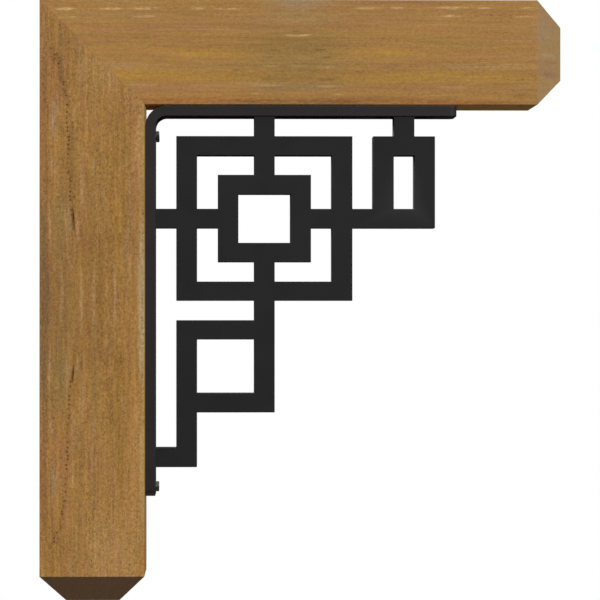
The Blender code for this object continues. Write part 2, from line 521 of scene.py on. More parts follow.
    def _pore_share(
        self, tree: bpy.types.NodeTree, place: bpy.types.NodeSocket
    ) -> bpy.types.NodeSocket:
        """How much of an open pore shows at each point.

        Args:
            tree: The finish's node tree.
            place: Where each point lies, in millimetres.

        Returns:
            The pores' share, from 0 on sound wood to their strength.
        """
        length, width = self.pores.length, self.pores.width
        scaled = add_node(
            tree,
            "ShaderNodeMapping",
            {"Vector": place, "Scale": (1 / length, 1 / width, 1 / width)},
        )
        nearest = add_node(
            tree, "ShaderNodeTexVoronoi", {"Vector": scaled, "Scale": 1.0}, output="Distance"
        )
        dot = add_node(
            tree,
            "ShaderNodeMapRange",
            {"Value": nearest, "From Min": 0.2, "From Max": 0.42, "To Min": 1.0, "To Max": 0.0},
        )
        row = add_node(
            tree,
            "ShaderNodeMapRange",
            {
                "Value": self._lumps(tree, place, 170.0, 5.0),
                "From Min": 1.0 - self.pores.crowding,
                "From Max": 1.15 - self.pores.crowding,
                "To Max": self.pores.strength,
            },
        )
        return add_node(tree, "ShaderNodeMath", {0: dot, 1: row}, operation="MULTIPLY")

    def _folded_at_the_middle(
        self, tree: bpy.types.NodeTree, place: bpy.types.NodeSocket
    ) -> bpy.types.NodeSocket:
        """The same millimetres, but with the distance from the timber's middle for the way along.

        Args:
            tree: The finish's node tree.
            place: Where each point lies, in millimetres.

        Returns:
            The folded place.
        """
        parts = add_node(tree, "ShaderNodeSeparateXYZ", {"Vector": place}, output="X").node
        off = add_node(
            tree,
            "ShaderNodeMath",
            {0: parts.outputs["X"], 1: self.middle * MM_PER_METRE},
            operation="SUBTRACT",
        )
        off = add_node(tree, "ShaderNodeMath", {0: off}, operation="ABSOLUTE")
        return add_node(
            tree,
            "ShaderNodeCombineXYZ",
            {"X": off, "Y": parts.outputs["Y"], "Z": parts.outputs["Z"]},
        )

    def _streak_share(
        self,
        tree: bpy.types.NodeTree,
        folded: bpy.types.NodeSocket,
        breaks: bpy.types.NodeSocket,
        streak: Streak,
    ) -> bpy.types.NodeSocket:
        """How much of one streak shows at each point, broken up as the grain breaks it.

        Args:
            tree: The finish's node tree.
            folded: Where each point lies, measured from the middle.
            breaks: The pattern that breaks it up.
            streak: The streak.

        Returns:
            Its share, from 0 outside it to its strength at its middle.
        """
        inside = add_node(
            tree,
            "ShaderNodeMapping",
            {
                "Vector": folded,
                "Location": (streak.off_middle, self.front * MM_PER_METRE, streak.across),
                "Rotation": (0.0, math.radians(streak.lean), 0.0),
                "Scale": (streak.length / 2, self.streak_depth / 2, streak.width / 2),
            },
            vector_type="TEXTURE",
        )
        distance = add_node(
            tree, "ShaderNodeVectorMath", {0: inside}, output="Value", operation="LENGTH"
        )
        soft = add_node(
            tree,
            "ShaderNodeMapRange",
            {
                "Value": distance,
                "From Min": streak.core,
                "To Min": streak.strength,
                "To Max": 0.0,
            },
            interpolation_type="SMOOTHSTEP",
        )
        ragged = add_node(
            tree,
            "ShaderNodeMapRange",
            {
                "Value": breaks,
                "From Min": 0.42,
                "From Max": 0.56,
                "To Min": 1.0 - streak.raggedness,
            },
        )
        return add_node(tree, "ShaderNodeMath", {0: soft, 1: ragged}, operation="MULTIPLY")

    def _trail_share(
        self, tree: bpy.types.NodeTree, folded: bpy.types.NodeSocket, trail: PoreTrail
    ) -> bpy.types.NodeSocket:
        """How much of the trail of large pores shows at each point.

        Args:
            tree: The finish's node tree.
            folded: Where each point lies, measured from the middle.
            trail: The trail.

        Returns:
            Its share, from 0 between the pores to its strength.
        """
        parts = add_node(tree, "ShaderNodeSeparateXYZ", {"Vector": folded}, output="X").node
        off_middle = parts.outputs["X"]
        aside = self._beside_the_trail(tree, parts, trail)
        cell = add_node(
            tree,
            "ShaderNodeCombineXYZ",
            {
                "X": add_node(
                    tree, "ShaderNodeMath", {0: off_middle, 1: trail.spacing}, operation="DIVIDE"
                ),
                "Y": aside,
            },
        )
        # One pore to a cell, a little off its middle
        pore = add_node(
            tree,
            "ShaderNodeTexVoronoi",
            {"Vector": cell, "Scale": 1.0, "Randomness": 0.55},
            output="Distance",
            voronoi_dimensions="2D",
        ).node
        dot = add_node(
            tree,
            "ShaderNodeMapRange",
            {
                "Value": pore.outputs["Distance"],
                "From Min": trail.pore_size / 2,
                "From Max": trail.pore_size,
                "To Min": trail.strength,
                "To Max": 0.0,
            },
        )
        # Some pores are fainter, and a few have closed
        depth = add_node(
            tree,
            "ShaderNodeMapRange",
            {"Value": pore.outputs["Color"], "From Min": 0.25, "From Max": 0.5, "To Min": 0.3},
        )
        masks = [depth]
        for value, limit, test in (
            (aside, 0.0, "GREATER_THAN"),
            (aside, 1.0, "LESS_THAN"),
            (off_middle, trail.nearest, "GREATER_THAN"),
            (off_middle, trail.farthest, "LESS_THAN"),
            (parts.outputs["Y"], 0.0, "LESS_THAN"),
        ):
            masks.append(add_node(tree, "ShaderNodeMath", {0: value, 1: limit}, operation=test))
        share = dot
        for mask in masks:
            share = add_node(tree, "ShaderNodeMath", {0: share, 1: mask}, operation="MULTIPLY")
        return share

    def _beside_the_trail(
        self, tree: bpy.types.NodeTree, parts: bpy.types.Node, trail: PoreTrail
    ) -> bpy.types.NodeSocket:
        """How far each point lies from the trail's line, counted so that the trail's own cells run 0 to 1.

        Args:
            tree: The finish's node tree.
            parts: The node that gives each point's place off the middle and across.
            trail: The trail.

        Returns:
            The place across the trail, 0.5 on its line.
        """
        off_middle, across = parts.outputs["X"], parts.outputs["Z"]
        past = add_node(
            tree, "ShaderNodeMath", {0: off_middle, 1: trail.bend_start}, operation="SUBTRACT"
        )
        past = add_node(tree, "ShaderNodeMath", {0: past, 1: 0.0}, operation="MAXIMUM")
        curve = add_node(tree, "ShaderNodeMath", {0: past, 1: past}, operation="MULTIPLY")
        level = add_node(
            tree,
            "ShaderNodeMath",
            {0: curve, 1: trail.bend, 2: across},
            operation="MULTIPLY_ADD",
        )
        level = add_node(
            tree,
            "ShaderNodeMath",
            {0: off_middle, 1: trail.slant, 2: level},
            operation="MULTIPLY_ADD",
        )
        start = trail.across + trail.slant * trail.nearest - trail.spread / 2
        level = add_node(tree, "ShaderNodeMath", {0: level, 1: start}, operation="SUBTRACT")
        return add_node(tree, "ShaderNodeMath", {0: level, 1: trail.spread}, operation="DIVIDE")


@dataclass(frozen=True)
class PowderCoatedSteel:
    """Mild steel bar under a baked black powder coat.

    To the eye it is an even satin black, with the faint orange peel that powder leaves as it flows.
    """

    name: str
    colour: str = "#141414"
    roughness: float = 0.55
    sheen_level: float = 0.3
    peel_mm: float = 1.6
    peel_depth_mm: float = 0.02

    def build(self) -> bpy.types.Material:
        """Makes the material.

        Returns:
            The finished material.
        """
        material, tree, shader = new_material(self.name)
        own = add_node(tree, "ShaderNodeTexCoord", output="Object")
        peel = add_node(
            tree,
            "ShaderNodeTexNoise",
            {"Vector": own, "Scale": MM_PER_METRE / self.peel_mm, "Detail": 2.0},
        )
        film = add_node(
            tree, "ShaderNodeTexNoise", {"Vector": own, "Scale": 25.0, "Detail": 3.0}
        )
        shade = add_node(
            tree,
            "ShaderNodeMapRange",
            {"Value": film, "From Min": 0.3, "From Max": 0.7, "To Min": 0.92, "To Max": 1.08},
        )
        colour = add_node(
            tree,
            "ShaderNodeVectorMath",
            {0: hex_to_linear(self.colour)[:3], 3: shade},
            operation="SCALE",
        )
        tree.links.new(colour, shader.inputs["Base Color"])
        rough = add_node(
            tree,
            "ShaderNodeMapRange",
            {"Value": film, "To Min": self.roughness - 0.05, "To Max": self.roughness + 0.05},
        )
        tree.links.new(rough, shader.inputs["Roughness"])
        bump = add_node(
            tree,
            "ShaderNodeBump",
            {"Strength": 1.0, "Distance": self.peel_depth_mm * MM, "Height": peel},
        )
        tree.links.new(bump, shader.inputs["Normal"])
        shader.inputs["Specular IOR Level"].default_value = self.sheen_level
        return material


@dataclass(frozen=True)
class BlackOxideSteel:
    """Cold-forged steel under a thin black oxide, as lag screws are sold.

    To the eye it is darker than the coat beside it but catches the light on its flats.
    """

    name: str
    colour: str = "#434242"
    roughness: float = 0.42

    def build(self) -> bpy.types.Material:
        """Makes the material.

        Returns:
            The finished material.
        """
        material, tree, shader = new_material(self.name)
        own = add_node(tree, "ShaderNodeTexCoord", output="Object")
        bloom = add_node(
            tree, "ShaderNodeTexNoise", {"Vector": own, "Scale": 300.0, "Detail": 4.0}
        )
        shade = add_node(
            tree,
            "ShaderNodeMapRange",
            {"Value": bloom, "From Min": 0.3, "From Max": 0.7, "To Min": 0.85, "To Max": 1.15},
        )
        colour = add_node(
            tree,
            "ShaderNodeVectorMath",
            {0: hex_to_linear(self.colour)[:3], 3: shade},
            operation="SCALE",
        )
        tree.links.new(colour, shader.inputs["Base Color"])
        rough = add_node(
            tree,
            "ShaderNodeMapRange",
            {
                "Value": bloom,
                "To Min": self.roughness - ROUGHNESS_SPREAD,
                "To Max": self.roughness + ROUGHNESS_SPREAD,
            },
        )
        tree.links.new(rough, shader.inputs["Roughness"])
        shader.inputs["Metallic"].default_value = 1.0
        return material


def ease(bm: bmesh.types.BMesh, edges: list[bmesh.types.BMEdge], radius: float, strips: int) -> None:
    """Rounds these edges.

    Args:
        bm: The mesh.
        edges: The edges to round.
        radius: How far the rounding reaches from each edge, in metres.
        strips: How many strips of faces make the round.
    """
    bmesh.ops.bevel(
        bm,
        geom=edges,
        offset=radius,
        offset_type="OFFSET",
        affect="EDGES",
        segments=strips,
        profile=0.5,
        material=-1,
    )


def true_edges(bm: bmesh.types.BMesh) -> list[bmesh.types.BMEdge]:
    """The edges where two faces really meet at an angle."""
    return [e for e in bm.edges if len(e.link_faces) == 2 and e.calc_face_angle() > TRUE_EDGE]


def as_object(bm: bmesh.types.BMesh, name: str) -> bpy.types.Object:
    """Turns the mesh into an object at the origin, with every face turned outwards.

    Args:
        bm: The finished mesh, which is freed.
        name: The object's name.

    Returns:
        The object, linked to the scene.
    """
    bmesh.ops.recalc_face_normals(bm, faces=bm.faces)
    mesh = bpy.data.meshes.new(name)
    bm.to_mesh(mesh)
    bm.free()
    obj = bpy.data.objects.new(name, mesh)
    bpy.context.scene.collection.objects.link(obj)
    return obj


def cut(obj: bpy.types.Object, cutters: list[bpy.types.Object]) -> None:
    """Takes the cutters' shapes out of the object's mesh, and removes the cutters.

    Args:
        obj: The object to cut.
        cutters: Closed bodies that reach past the surface.
    """
    for cutter in cutters:
        modifier = obj.modifiers.new(cutter.name, "BOOLEAN")
        modifier.operation = "DIFFERENCE"
        modifier.solver = "EXACT"
        modifier.object = cutter
    graph = bpy.context.evaluated_depsgraph_get()
    whole = obj.data
    obj.data = bpy.data.meshes.new_from_object(obj.evaluated_get(graph))
    obj.data.name = whole.name
    obj.modifiers.clear()
    bpy.data.meshes.remove(whole)
    for cutter in cutters:
        bpy.data.objects.remove(cutter)


def dress(obj: bpy.types.Object, material: bpy.types.Material, node: str) -> None:
    """Gives a finished piece its shading, material and body, and hides the CAD node that it replaces.

    Args:
        obj: The piece.
        material: Its finish.
        node: The CAD node that it replaces.
    """
    obj.data.materials.clear()
    obj.data.materials.append(material)
    obj.data.shade_smooth()
    obj.data.set_sharp_from_angle(angle=SHADED_EDGE)
    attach(obj, BODY)
    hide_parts(node)
    LOG.info("%s: %d faces", obj.name, len(obj.data.polygons))


@dataclass(frozen=True)
class Check:
    """A drying check: a narrow lens-shaped split along the grain, in metres from the timber's corner."""

    along: float
    across: float
    length: float
    width: float
    depth: float
    lean: float = 0.0


@dataclass
class Timber:
    """One square timber, mitred at the corner and cut to a blunt four-sided point at its free end."""

    name: str
    node: str
    grain: Grain
    length: float
    face: float
    depth: float
    top: float
    finish: StainedTimber
    checks: tuple[Check, ...] = ()
    chamfer: float = 0.0325
    # The end grain's share on a slanted cut; the post's larger share also adds painted shade to its
    # downward-facing foot
    chamfer_end_grain_and_shade: float = 0.5
    mitre_gap: float = 0.00005
    arris: float = 0.0003
    arris_strips: int = 2
    grid: float = 0.006
    relief: float = 0.00015
    relief_length: float = 0.13
    relief_width: float = 0.03

    def build(self, hole_cutters: list[bpy.types.Object]) -> bpy.types.Object:
        """Makes the piece.

        Args:
            hole_cutters: The clearance holes of the screws that go into it.

        Returns:
            The finished timber.
        """
        bm = self._blank()
        self._ease_arrises(bm)
        self._divide(bm)
        self._plane_unevenly(bm)
        bmesh.ops.transform(bm, matrix=self._placing(), verts=bm.verts)
        timber = as_object(bm, self.name)
        cutters = [self._check_cutter(i, check) for i, check in enumerate(self.checks)]
        cut(timber, cutters + hole_cutters)
        self._mark_faces(timber.data)
        dress(timber, self.finish.build(), self.node)
        return timber

    def _placing(self) -> Matrix:
        """Where the timber lies: built along +X with its outer face at z = 0, it turns down for the post.

        Returns:
            The matrix from where it is built to where it lies.
        """
        placing = Matrix.Translation((0.0, 0.0, self.top))
        if self.grain is Grain.UPRIGHT:
            placing = placing @ Matrix.Rotation(math.pi / 2, 4, "Y")
            placing = placing @ Matrix.Rotation(math.pi, 4, "X")
        return placing

    def _blank(self) -> bmesh.types.BMesh:
        """The timber as cut to length, with its mitre and blunt point.

        Returns:
            Its mesh, lying along +X.
        """
        bm = bmesh.new()
        bmesh.ops.create_cube(bm, size=1.0)
        straight = self.length - self.chamfer
        bmesh.ops.scale(bm, vec=(straight, self.depth, self.face), verts=bm.verts)
        bmesh.ops.translate(bm, vec=(straight / 2, 0.0, -self.face / 2), verts=bm.verts)

        far_end = max(bm.faces, key=lambda face: face.calc_center_median().x)
        grown = bmesh.ops.extrude_face_region(bm, geom=[far_end])["geom"]
        tip = [item for item in grown if isinstance(item, bmesh.types.BMVert)]
        bmesh.ops.delete(bm, geom=[far_end], context="FACES_ONLY")
        bmesh.ops.translate(bm, vec=(self.chamfer, 0.0, 0.0), verts=tip)
        middle = Matrix.Translation((0.0, 0.0, self.face / 2))
        shrink = (1.0, 1.0 - 2 * self.chamfer / self.depth, 1.0 - 2 * self.chamfer / self.face)
        bmesh.ops.scale(bm, vec=shrink, space=middle, verts=tip)

        mitre = [vert for vert in bm.verts if vert.co.x < self.mitre_gap]
        bmesh.ops.translate(bm, vec=(self.mitre_gap / 2 / math.sin(math.pi / 4), 0.0, 0.0), verts=mitre)
        inner = [vert for vert in mitre if vert.co.z < -self.face / 2]
        bmesh.ops.translate(bm, vec=(self.face, 0.0, 0.0), verts=inner)
        return bm

    def _on_mitre(self, point: Vector) -> bool:
        """Whether a point lies on the mitre's plane."""
        return abs(point.x + point.z) < 2 * self.mitre_gap

    def _ease_arrises(self, bm: bmesh.types.BMesh) -> None:
        """Takes the sharpness off every arris but the mitre's own, which close tight."""
        arrises = [e for e in bm.edges if not all(self._on_mitre(vert.co) for vert in e.verts)]
        ease(bm, arrises, self.arris, self.arris_strips)

    def _divide(self, bm: bmesh.types.BMesh) -> None:
        """Cuts the faces into a grid fine enough to take the plane's unevenness.

        Args:
            bm: The mesh.
        """
        spans = (
            (Vector((1.0, 0.0, 0.0)), 0.0, self.length),
            (Vector((0.0, 1.0, 0.0)), -self.depth / 2, self.depth / 2),
            (Vector((0.0, 0.0, 1.0)), -self.face, 0.0),
        )
        for normal, start, stop in spans:
            steps = round((stop - start) / self.grid)
            for step in range(1, steps):
                point = normal * (start + (stop - start) * step / steps)
                everything = [*bm.verts, *bm.edges, *bm.faces]
                bmesh.ops.bisect_plane(
                    bm, geom=everything, dist=SAME_POINT, plane_co=point, plane_no=normal
                )

    def _plane_unevenly(self, bm: bmesh.types.BMesh) -> None:
        """Sinks the surface here and there by a fraction of a millimetre, and raises it nowhere.

        Args:
            bm: The mesh.
        """
        bm.normal_update()
        sizes = Vector((1 / self.relief_length, 1 / self.relief_width, 1 / self.relief_width))
        offset = Vector((self.finish.seed, 0.0, 0.0))
        mitre = Vector((1.0, 0.0, 1.0)).normalized()
        for vert in bm.verts:
            share = 0.5 + 0.5 * noise.noise(vert.co * sizes + offset)
            move = vert.normal * self.relief * share
            if self._on_mitre(vert.co):
                move -= mitre * move.dot(mitre)
            vert.co -= move

    def _check_cutter(self, index: int, check: Check) -> bpy.types.Object:
        """A thin wedge, deepest at its middle, that opens one check in the front face.

        Args:
            index: Its number, for its name.
            check: The check.

        Returns:
            The cutter.
        """
        front = -1.0 if self.grain is Grain.LEVEL else 1.0
        bm = bmesh.new()
        bmesh.ops.create_cone(bm, segments=16, radius1=0.02, radius2=0.98, depth=1.0, cap_ends=True)
        bmesh.ops.rotate(bm, matrix=Matrix.Rotation(-front * math.pi / 2, 3, "X"), verts=bm.verts)
        bmesh.ops.scale(bm, vec=(check.length, 2 * check.depth, check.width), verts=bm.verts)
        bmesh.ops.rotate(bm, matrix=Matrix.Rotation(check.lean, 3, "Y"), verts=bm.verts)
        place = Vector((check.along, front * self.depth / 2, -check.across))
        bmesh.ops.translate(bm, vec=place, verts=bm.verts)
        bmesh.ops.transform(bm, matrix=self._placing(), verts=bm.verts)
        return as_object(bm, f"{self.name}_check_{index}")

    def _mark_faces(self, mesh: bpy.types.Mesh) -> None:
        """Marks the end grain, and the arrises that the finish darkens as painted shade.

        Args:
            mesh: The timber's finished mesh.
        """
        along = Vector((1.0, 0.0, 0.0)) if self.grain is Grain.LEVEL else Vector((0.0, 0.0, 1.0))
        ends = []
        arrises = []
        for face in mesh.polygons:
            # The square end cuts straight across the grain, and its chamfers cut on the slant
            towards_end = abs(face.normal.dot(along))
            if towards_end > SQUARE_CUT:
                ends.append(1.0)
            elif towards_end > SLANT_CUT:
                ends.append(self.chamfer_end_grain_and_shade)
            else:
                ends.append(0.0)
            arrises.append(1.0 if self._is_arris(face.normal) else 0.0)
        for name, marks in (("end_grain", ends), ("arris", arrises)):
            mesh.attributes.new(name, "FLOAT", "FACE").data.foreach_set("value", marks)

    def _is_arris(self, normal: Vector) -> bool:
        """Whether a face is neither square to the timber nor at 45 degrees to it, as every flat is.

        Args:
            normal: The way the face looks.

        Returns:
            True for a face of an eased arris.
        """
        first, second, _ = sorted((abs(part) for part in normal), reverse=True)
        nearest_flat = max(first, (first + second) / math.sqrt(2.0))
        return nearest_flat < math.cos(FLAT_FACE)


@dataclass
class BentStrap:
    """The flat bar bent to an L, with holes for its two screws."""

    name: str
    low: Vector
    high: Vector
    finish: PowderCoatedSteel
    thickness: float = 0.0127
    bend_radius: float = 0.014
    bend_steps: int = 24
    plan_corner: float = 0.009
    plan_corner_steps: int = 8
    edge: float = 0.0005
    edge_strips: int = 2

    def build(self, hole_cutters: list[bpy.types.Object]) -> bpy.types.Object:
        """Makes the piece.

        Args:
            hole_cutters: The screws' clearance holes.

        Returns:
            The finished strap.
        """
        bm = self._bar()
        self._round_plan_corners(bm)
        ease(bm, true_edges(bm), self.edge, self.edge_strips)
        strap = as_object(bm, self.name)
        cut(strap, hole_cutters)
        dress(strap, self.finish.build(), "strap")
        return strap

    def _bar(self) -> bmesh.types.BMesh:
        """The bar from its tip, round the bend a step at a time, and down to its foot.

        Returns:
            Its mesh.
        """
        outer = self.bend_radius + self.thickness
        bend = Vector((self.low.x + outer, 0.0, self.high.z - outer))
        leg = self.high.x - bend.x
        bm = bmesh.new()
        bmesh.ops.create_cube(bm, size=1.0)
        bmesh.ops.scale(bm, vec=(leg, self.high.y - self.low.y, self.thickness), verts=bm.verts)
        middle = Vector((bend.x + leg / 2, 0.0, self.high.z - self.thickness / 2))
        bmesh.ops.translate(bm, vec=middle, verts=bm.verts)
        end = min(bm.faces, key=lambda face: face.calc_center_median().x)
        step = Matrix.Rotation(-math.pi / 2 / self.bend_steps, 3, "Y")
        for _ in range(self.bend_steps):
            end = self._grow(bm, end)
            bmesh.ops.rotate(bm, cent=bend, matrix=step, verts=end.verts)
        end = self._grow(bm, end)
        bmesh.ops.translate(bm, vec=(0.0, 0.0, self.low.z - bend.z), verts=end.verts)
        return bm

    def _grow(self, bm: bmesh.types.BMesh, end: bmesh.types.BMFace) -> bmesh.types.BMFace:
        """Extrudes the bar's end face, and hands back the new one.

        Args:
            bm: The mesh.
            end: The end face, which is deleted.

        Returns:
            The new end face.
        """
        grown = bmesh.ops.extrude_face_region(bm, geom=[end])["geom"]
        bmesh.ops.delete(bm, geom=[end], context="FACES_ONLY")
        return next(item for item in grown if isinstance(item, bmesh.types.BMFace))

    def _round_plan_corners(self, bm: bmesh.types.BMesh) -> None:
        """Rounds the bar's four corners as seen on its flat, two at the tip and two at the foot.

        Args:
            bm: The mesh.
        """
        corners = []
        for edge in bm.edges:
            first, second = (vert.co for vert in edge.verts)
            across_the_bar = abs(first.y - second.y) < self.edge
            at_tip = min(first.x, second.x) > self.high.x - self.edge
            at_foot = max(first.z, second.z) < self.low.z + self.edge
            if across_the_bar and (at_tip or at_foot):
                corners.append(edge)
        ease(bm, corners, self.plan_corner, self.plan_corner_steps)


@dataclass
class Fretwork:
    """The open panel of square bars, welded to the strap at its ends."""

    name: str
    strap_side: float
    strap_underside: float
    finish: PowderCoatedSteel
    weld_reach: float = 0.0005
    edge: float = 0.0005
    edge_strips: int = 2

    def build(self, node: bpy.types.Object) -> bpy.types.Object:
        """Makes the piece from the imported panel.

        Args:
            node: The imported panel, which is copied and left as it is.

        Returns:
            The finished fretwork.
        """
        bm = bmesh.new()
        bm.from_mesh(node.data)
        bmesh.ops.remove_doubles(bm, verts=bm.verts, dist=self.weld_reach / 10)
        bmesh.ops.dissolve_limit(
            bm, angle_limit=math.radians(1.0), verts=bm.verts, edges=bm.edges
        )
        self._meet_the_strap(bm)
        free = [e for e in true_edges(bm) if not self._is_welded(e)]
        ease(bm, free, self.edge, self.edge_strips)
        fretwork = as_object(bm, self.name)
        dress(fretwork, self.finish.build(), "fretwork")
        return fretwork

    def _meet_the_strap(self, bm: bmesh.types.BMesh) -> None:
        """Brings each welded bar end up against the strap.

        Args:
            bm: The mesh.
        """
        for vert in bm.verts:
            if vert.co.x < self.strap_side + self.weld_reach:
                vert.co.x = self.strap_side
            if vert.co.z > self.strap_underside - self.weld_reach:
                vert.co.z = self.strap_underside

    def _is_welded(self, edge: bmesh.types.BMEdge) -> bool:
        """Whether an edge lies against the strap, where the weld leaves it square.

        Args:
            edge: An edge of the panel.

        Returns:
            True for an edge at a weld.
        """
        on_side = all(vert.co.x < self.strap_side + self.weld_reach for vert in edge.verts)
        under = all(vert.co.z > self.strap_underside - self.weld_reach for vert in edge.verts)
        return on_side or under


@dataclass
class LagScrew:
    """A hex-headed lag screw, driven through the strap into the post."""

    name: str
    node: str
    strap_side: float
    height: float
    finish: BlackOxideSteel
    tilt: float = 0.0
    head_turn: float = 0.0
    across_flats: float = 0.0127
    head_height: float = 0.0043
    head_chamfer: float = 0.0007
    shank_diameter: float = 0.0079
    shank_length: float = 0.076
    point_length: float = 0.009
    point_diameter: float = 0.002
    clearance: float = 0.0003
    sides: int = 48

    def build(self) -> bpy.types.Object:
        """Makes the piece.

        Returns:
            The finished screw.
        """
        shank = self.shank_diameter / 2
        inscribed = self.across_flats / 2
        bm = bmesh.new()
        made = bmesh.ops.create_circle(
            bm, cap_ends=True, radius=self.point_diameter / 2, segments=self.sides
        )
        bmesh.ops.translate(bm, vec=(0.0, 0.0, -self.shank_length), verts=made["verts"])
        end = bm.faces[:][0]
        end = self._ring(bm, end, self.point_length - self.shank_length, lambda turn: shank, keep=True)
        end = self._ring(bm, end, 0.0, lambda turn: shank)
        end = self._ring(bm, end, 0.0, self._hexagon)
        end = self._ring(bm, end, self.head_height - self.head_chamfer, self._hexagon)
        end = self._ring(bm, end, self.head_height - self.head_chamfer / 4, lambda turn: inscribed)
        self._ring(bm, end, self.head_height, lambda turn: inscribed - 2 * self.head_chamfer)
        bmesh.ops.transform(bm, matrix=self._seat(), verts=bm.verts)
        screw = as_object(bm, self.name)
        dress(screw, self.finish.build(), self.node)
        return screw

    def hole_cutter(self) -> bpy.types.Object:
        """The screw's hole, a little wider and longer than its shank.

        Returns:
            The cutter.
        """
        past_the_head = 4 * self.head_height
        length = self.shank_length + self.clearance + past_the_head
        bm = bmesh.new()
        radius = self.shank_diameter / 2 + self.clearance
        bmesh.ops.create_cone(
            bm, cap_ends=True, segments=self.sides, radius1=radius, radius2=radius, depth=length
        )
        bmesh.ops.translate(bm, vec=(0.0, 0.0, past_the_head - length / 2), verts=bm.verts)
        bmesh.ops.transform(bm, matrix=self._seat(), verts=bm.verts)
        return as_object(bm, f"{self.name}_hole")

    def _seat(self) -> Matrix:
        """Stands the screw, built along +Z, out of the strap's face, tipped and clear of it.

        Returns:
            The matrix from where it is built to where it lies.
        """
        corner_reach = self.across_flats / 2 / math.cos(math.pi / 6)
        stand_off = self.clearance + corner_reach * math.tan(self.tilt)
        place = Matrix.Translation((self.strap_side + stand_off, 0.0, self.height))
        return place @ Matrix.Rotation(math.pi / 2 - self.tilt, 4, "Y")

    def _hexagon(self, turn: float) -> float:
        """How far the head's outline lies from its centre at this turn about the screw.

        Args:
            turn: The turn, in radians.

        Returns:
            The distance in metres.
        """
        sector = math.pi / 3
        off_flat = (turn - self.head_turn + sector / 2) % sector - sector / 2
        return self.across_flats / 2 / math.cos(off_flat)

    def _ring(
        self,
        bm: bmesh.types.BMesh,
        end: bmesh.types.BMFace,
        height: float,
        reach: Callable[[float], float],
        keep: bool = False,
    ) -> bmesh.types.BMFace:
        """Extrudes the end face to a new height and outline.

        Args:
            bm: The mesh.
            end: The face to extrude.
            height: Where the new face lies along the screw.
            reach: Gives the outline's distance from the axis at each turn.
            keep: Whether the old face stays, as the screw's point does.

        Returns:
            The new end face.
        """
        grown = bmesh.ops.extrude_face_region(bm, geom=[end], use_keep_orig=keep)["geom"]
        if not keep:
            bmesh.ops.delete(bm, geom=[end], context="FACES_ONLY")
        new_end = next(item for item in grown if isinstance(item, bmesh.types.BMFace))
        for vert in new_end.verts:
            turn = math.atan2(vert.co.y, vert.co.x)
            vert.co = (reach(turn) * math.cos(turn), reach(turn) * math.sin(turn), height)
        return new_end


@dataclass
class Studio:
    """A white surround, a pale floor far below, a soft lamp above the camera's right and one behind."""

    floor_drop: float = 6.3
    floor_radius: float = 3.5
    floor_colour: str = "#e8e8e6"
    key_strength: float = 4.75
    key_toward: tuple[float, float, float] = (-0.5, 0.6, -0.7)
    rear_strength: float = 2.0
    rear_toward: tuple[float, float, float] = (0.7, -1.0, -0.55)
    sky_strength: float = 0.35

    def build(self) -> None:
        """Makes the floor, the lamps and the surround, and sets how colours are shown."""
        self._floor()
        self._lamp("key", self.key_toward, self.key_strength, math.radians(40.0), casts=False)
        self._lamp("rear", self.rear_toward, self.rear_strength, math.radians(30.0), casts=True)
        self._surround()
        view = bpy.context.scene.view_settings
        view.view_transform = "Standard"
        view.look = "None"
        view.exposure = 0.0
        view.gamma = 1.0

    def _floor(self) -> None:
        """A disc of pale card, so far down that it is out of the photograph's view."""
        bm = bmesh.new()
        bmesh.ops.create_circle(bm, cap_ends=True, radius=self.floor_radius, segments=96)
        bmesh.ops.translate(bm, vec=(0.0, 0.0, -self.floor_drop), verts=bm.verts)
        floor = as_object(bm, "floor")
        material, tree, shader = new_material("pale card floor")
        own = add_node(tree, "ShaderNodeTexCoord", output="Object")
        fleck = add_node(tree, "ShaderNodeTexNoise", {"Vector": own, "Scale": 3.0, "Detail": 2.0})
        shade = add_node(
            tree, "ShaderNodeMapRange", {"Value": fleck, "To Min": 0.98, "To Max": 1.02}
        )
        colour = add_node(
            tree,
            "ShaderNodeVectorMath",
            {0: hex_to_linear(self.floor_colour)[:3], 3: shade},
            operation="SCALE",
        )
        tree.links.new(colour, shader.inputs["Base Color"])
        shader.inputs["Roughness"].default_value = 0.9
        floor.data.materials.append(material)

    def _lamp(
        self,
        name: str,
        toward: tuple[float, float, float],
        strength: float,
        softness: float,
        casts: bool,
    ) -> None:
        """Adds a broad, distant lamp.

        Args:
            name: The lamp's name.
            toward: The way its light travels.
            strength: Its light on a surface that faces it.
            softness: How wide it looks from the bracket, in radians.
            casts: Whether pieces shade each other from it.
        """
        light = bpy.data.lights.new(name, "SUN")
        light.energy = strength
        light.angle = softness
        light.use_shadow = casts
        lamp = bpy.data.objects.new(name, light)
        lamp.rotation_mode = "QUATERNION"
        lamp.rotation_quaternion = Vector(toward).to_track_quat("-Z", "Y")
        bpy.context.scene.collection.objects.link(lamp)

    def _surround(self) -> None:
        """White where the camera looks past the bracket, and a dim sky over it for everything else."""
        world = bpy.data.worlds.new("white surround")
        bpy.context.scene.world = world
        world.use_nodes = True
        tree = world.node_tree
        tree.nodes.clear()
        direction = add_node(tree, "ShaderNodeTexCoord", output="Generated")
        parts = add_node(tree, "ShaderNodeSeparateXYZ", {"Vector": direction}, output="Z")
        overhead = add_node(
            tree,
            "ShaderNodeMapRange",
            {
                "Value": parts,
                "From Min": -0.1,
                "From Max": 0.6,
                "To Min": 0.0,
                "To Max": self.sky_strength,
            },
        )
        seen = add_node(tree, "ShaderNodeLightPath", output="Is Camera Ray")
        strength = add_node(
            tree, "ShaderNodeMix", {0: seen, 2: overhead, 3: 1.0}, data_type="FLOAT"
        )
        shine = add_node(
            tree, "ShaderNodeBackground", {"Color": (1.0, 1.0, 1.0, 1.0), "Strength": strength}
        )
        add_node(tree, "ShaderNodeOutputWorld", {"Surface": shine})


